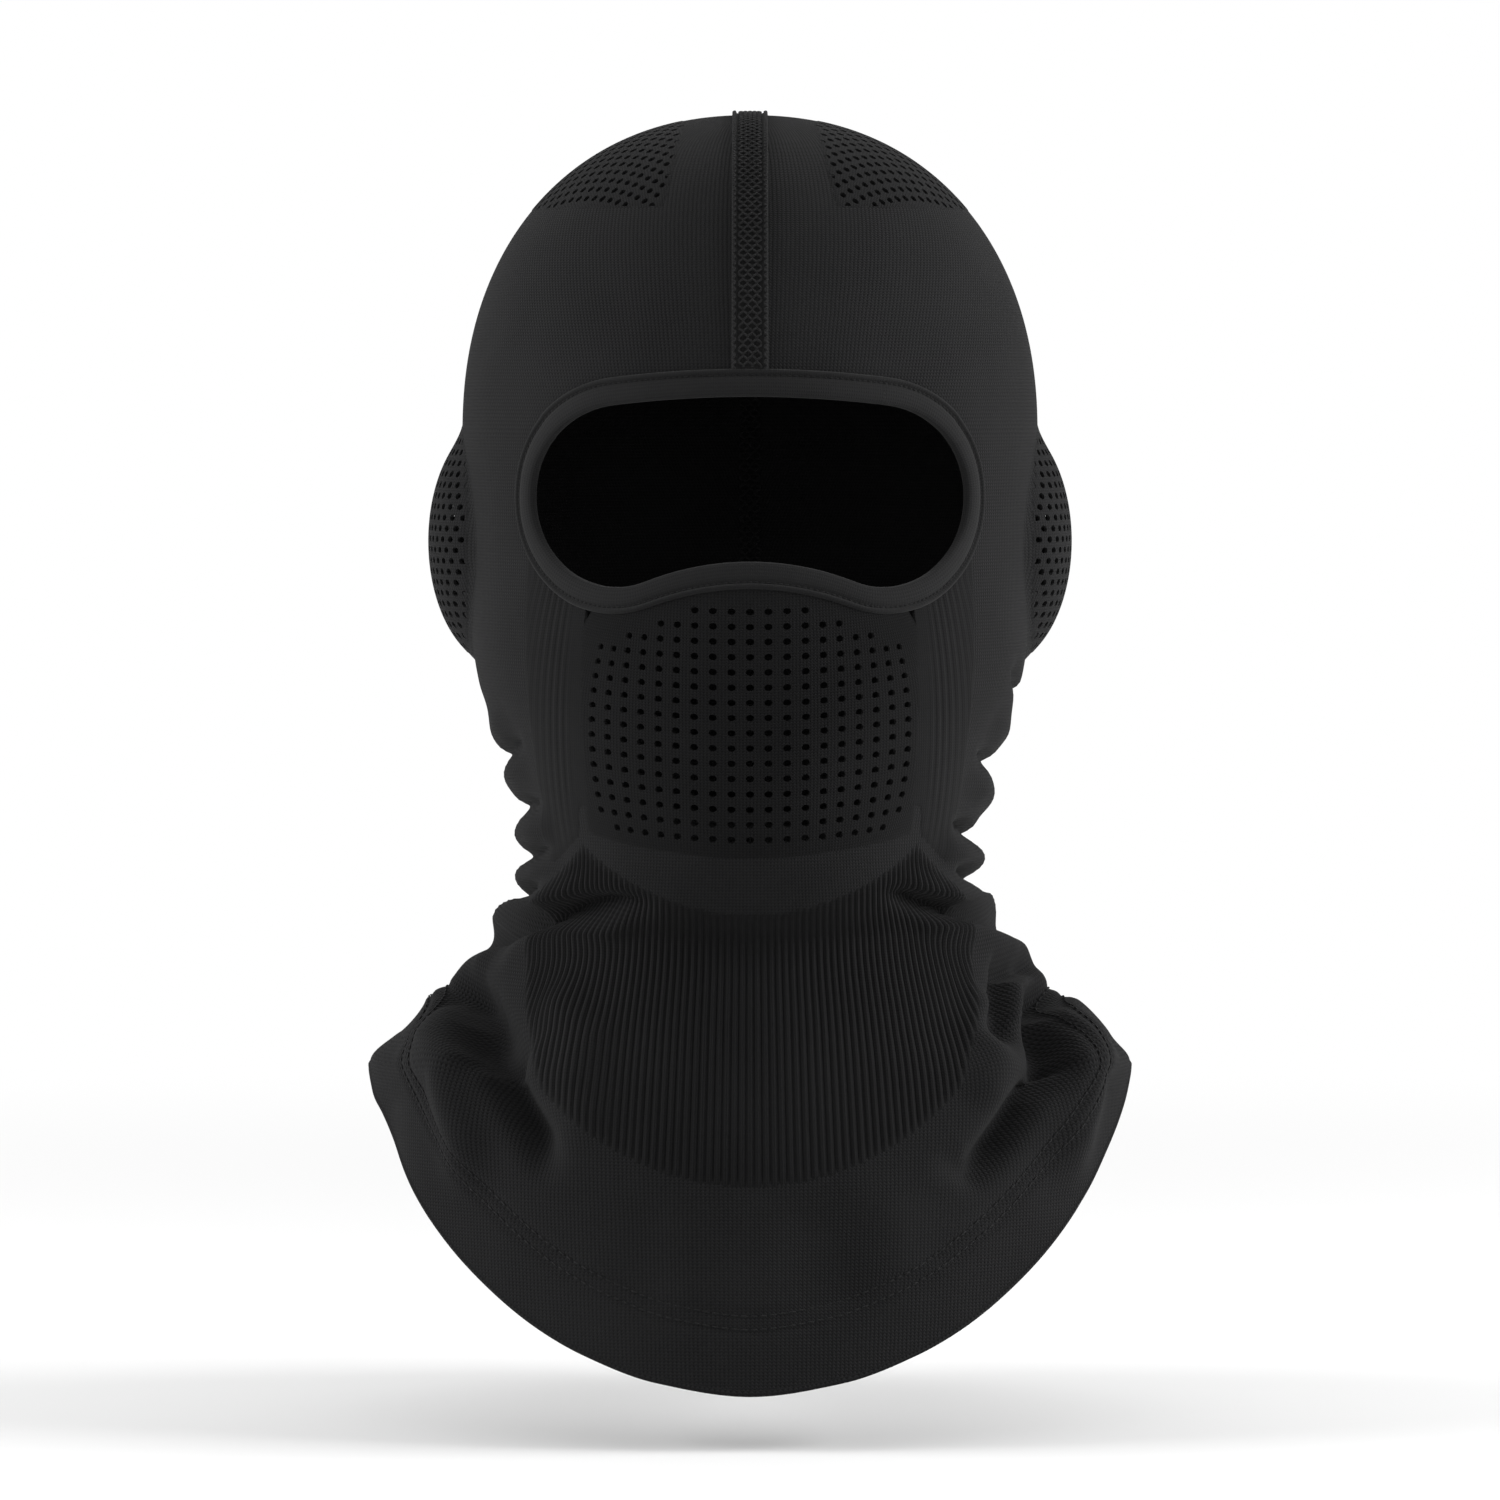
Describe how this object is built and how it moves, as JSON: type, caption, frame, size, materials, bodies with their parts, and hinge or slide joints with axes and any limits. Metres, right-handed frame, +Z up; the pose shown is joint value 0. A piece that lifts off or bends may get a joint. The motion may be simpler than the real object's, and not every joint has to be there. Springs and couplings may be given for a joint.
{
  "type": "balaclava",
  "caption": "Knitted winter face mask and hood with one eye opening, vents over mouth, ears and crown, ribbed throat and a flared bib.",
  "frame": {"origin": "inner face of the knit at the highest point of the crown, where the hood rests on a head", "axes": "+Z up, the face looks along -Y, +X to the wearer's left"},
  "size_m": [0.2124, 0.2049, 0.3478],
  "materials": {
    "plain_knit": "matt fine jersey knit, black",
    "vent_knit": "matt open-work knit with small round holes, black",
    "rib_knit": "matt ribbed knit, black",
    "binding_knit": "folded jersey strip, black, soft sheen",
    "thread": "spun polyester thread, black, satin"
  },
  "bodies": {
    "root": {"hood_left_half": "plain_knit", "hood_right_half": "plain_knit", "chin_panel": "plain_knit", "neck_skirt": "plain_knit", "hem_facing": "plain_knit", "mouth_vent": "vent_knit", "crown_vent_left": "vent_knit", "crown_vent_right": "vent_knit", "ear_vent_left": "vent_knit", "ear_vent_right": "vent_knit", "throat_rib_panel": "rib_knit", "cheek_rib_left": "rib_knit", "cheek_rib_right": "rib_knit", "eye_binding": "binding_knit", "crown_seam_band": "binding_knit", "eye_binding_stitch_row": "thread", "eye_binding_looper_thread": "thread", "crown_seam_cover_thread": "thread", "crown_seam_looper_thread": "thread", "hem_stitch_upper": "thread", "hem_stitch_lower": "thread", "hem_looper_thread": "thread"}
  },
  "joints": []
}
